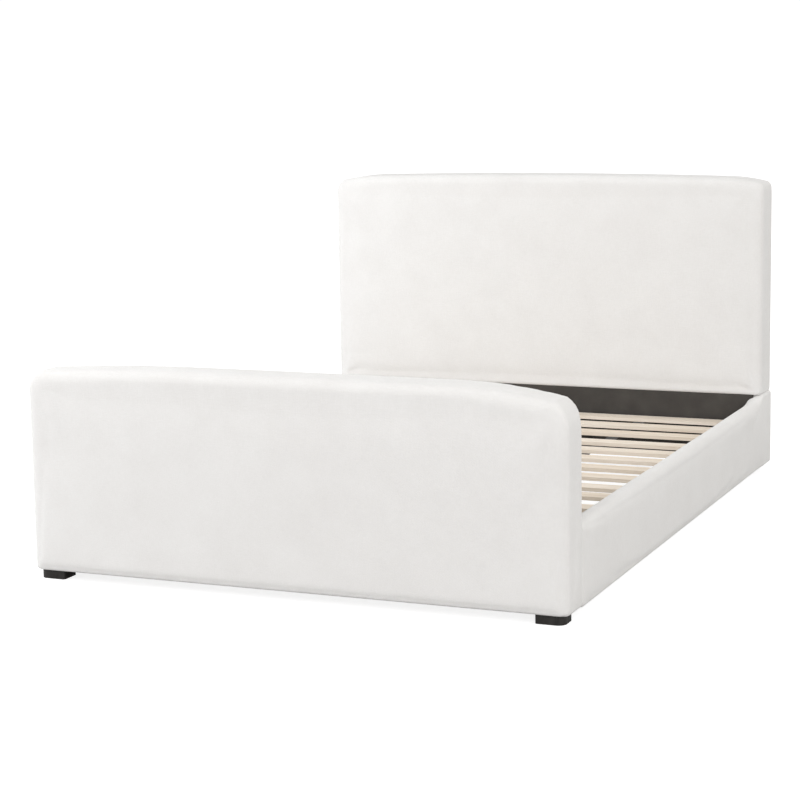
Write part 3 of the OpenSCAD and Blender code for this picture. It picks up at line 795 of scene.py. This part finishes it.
def rail_covers(cloth):
    """The right-hand rail's cover, and the left-hand one as its mirror image. It is held on the inside, at
    the bottom, at the front end and under the headboard pad."""
    front, corner = RAIL_LOW.y - 0.003, 0.011
    straight_end = RAIL_HIGH.y - corner
    straight_steps, corner_steps = 60, 7
    rings = [rail_section(front + (straight_end - front) * i / straight_steps, 0)
             for i in range(straight_steps + 1)]
    for i in range(1, corner_steps + 1):
        angle = HALF_PI * i / corner_steps
        rings.append(rail_section(straight_end + corner * math.sin(angle), corner * (1 - math.cos(angle))))
    piece = loft("rail_cover_right", rings)

    def held(points):
        inside = ramp_down(points[:, 0], RAIL_LOW.x, 0.008)
        under = ramp_down(points[:, 2], RAIL_LOW.z, 0.012)
        front_end = ramp_down(points[:, 1], front, 0.010)
        beneath_pad = ramp_up(points[:, 1], HEAD_LOW.y - 0.04, 0.02) * ramp_up(points[:, 2], RAIL_TOP, 0.01)
        return np.maximum.reduce([inside, under, front_end, beneath_pad])

    stuff(piece, RAIL_VOXEL, held, RAIL_SWELL, RAIL_LUMPS, seed=7)
    left = piece.copy()
    left.data = piece.data.copy()
    left.name = "rail_cover_left"
    SCENE.collection.objects.link(left)
    set_points(left, points_of(left) * np.array([-1.0, 1.0, 1.0]))
    left.data.flip_normals()
    for rail, side in ((piece, "right"), (left, "left")):
        rail.data.materials.append(cloth)
        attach(rail, STATIC)
        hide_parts("rail_pad_" + side)


# ---- Webbing ----

def webbing_straps(tape):
    """Straps stapled under the slats, sagging a little from slat to slat. A gap narrower than full_gap sags
    less."""
    most_sag, full_gap = 0.0035, 0.08
    # How far below the slats a strap's two faces lie
    upper, lower = 0.0002, 0.0013
    edges = sorted((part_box(name)[0].y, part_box(name)[1].y) for name in SLATS)
    for side in ("left", "right"):
        low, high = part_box("webbing_" + side)
        line = []
        for (a, b), after in zip(edges, edges[1:] + [None]):
            line += [(a + (b - a) * t, 0.0) for t in (0.02, 0.25, 0.5, 0.75, 0.98)]
            if after:
                gap = after[0] - b
                deepest = most_sag * min(1, gap / full_gap)
                line += [(b + gap * t, deepest * math.sin(math.pi * t)) for t in (0.2, 0.4, 0.6, 0.8)]
        rings = [[(low.x, y, high.z - upper - sag), (high.x, y, high.z - upper - sag),
                  (high.x, y, high.z - lower - sag), (low.x, y, high.z - lower - sag)] for y, sag in line]
        piece = loft("webbing_strap_" + side, rings)
        piece.data.materials.append(tape)
        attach(piece, DECK)
        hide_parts("webbing_" + side)


# ---- CAD nodes that keep their own shape ----

def ease_edges(node, width):
    """Breaks a node's sharp edges, those that turn by more than 40 degrees."""
    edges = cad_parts[node].modifiers.new("eased_edges", "BEVEL")
    edges.width, edges.segments, edges.limit_method = width, 2, "ANGLE"
    edges.angle_limit = math.radians(40)


def paint(node, material):
    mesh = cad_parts[node].data
    mesh.materials.clear()
    mesh.materials.append(material)


def finish_cad_nodes():
    """Gives each CAD node its material and eased edges, as wide as its line says."""
    slat_wood = softwood("slat_wood", SLAT_TONES, ALONG_X, 0.62, 0.025)
    upright_wood = softwood("upright_timber", TIMBER_TONES, ALONG_Z, 0.75)
    cross_wood = softwood("cross_timber", TIMBER_TONES, ALONG_X, 0.75)
    long_wood = softwood("long_timber", LONG_TIMBER_TONES, ALONG_Y, 0.72)
    board = plywood()
    block = moulded_plastic("black_foot", (0.010, 0.009, 0.008), 0.42)
    pad = moulded_plastic("black_glide", (0.014, 0.014, 0.014), 0.5)
    coat, zinc = powder_coat(), zinc_plate()
    looks = {
        slat_wood: (SLATS, 0.0016),
        upright_wood: (["headboard_post_left", "headboard_post_right", "footboard_post_left",
                        "footboard_post_right", "centre_leg_head", "centre_leg_middle", "centre_leg_foot"],
                       0.0015),
        cross_wood: (["headboard_top_rail", "headboard_middle_rail", "footboard_top_rail",
                      "footboard_lower_rail"], 0.0015),
        long_wood: (["rail_core_left", "rail_core_right", "slat_cleat_left", "slat_cleat_right",
                     "centre_beam"], 0.0015),
        board: (["headboard_face_board", "footboard_face_board", "headboard_apron"], 0.0006),
        block: (["rear_foot_left", "rear_foot_right", "front_foot_left", "front_foot_right"], 0.0025),
        pad: (["glide_head", "glide_middle", "glide_foot"], 0.0012),
        coat: (["corner_brackets", "beam_hangers"], 0.0005),
        zinc: (["bracket_bolts", "bracket_washers", "bracket_inserts", "bracket_screws", "cleat_screws",
                "leg_bolts", "leg_inserts", "webbing_staples"], 0.0003),
    }
    for material, (names, width) in looks.items():
        for name in names:
            paint(name, material)
            ease_edges(name, width)


# ---- Building the scene ----

def build():
    add_camera()
    add_world()
    for lamp in LAMPS:
        add_lamp(*lamp)
    add_floor()
    SCENE.view_settings.view_transform = "Standard"
    cloth, lining = cover_fabric(), lining_fabric()
    finish_cad_nodes()
    headboard_cover(cloth)
    headboard_back_cover(cloth)
    headboard_lining_panel(lining)
    footboard_cover(cloth)
    footboard_lining_panel(lining)
    rail_covers(cloth)
    webbing_straps(webbing_tape())


build()
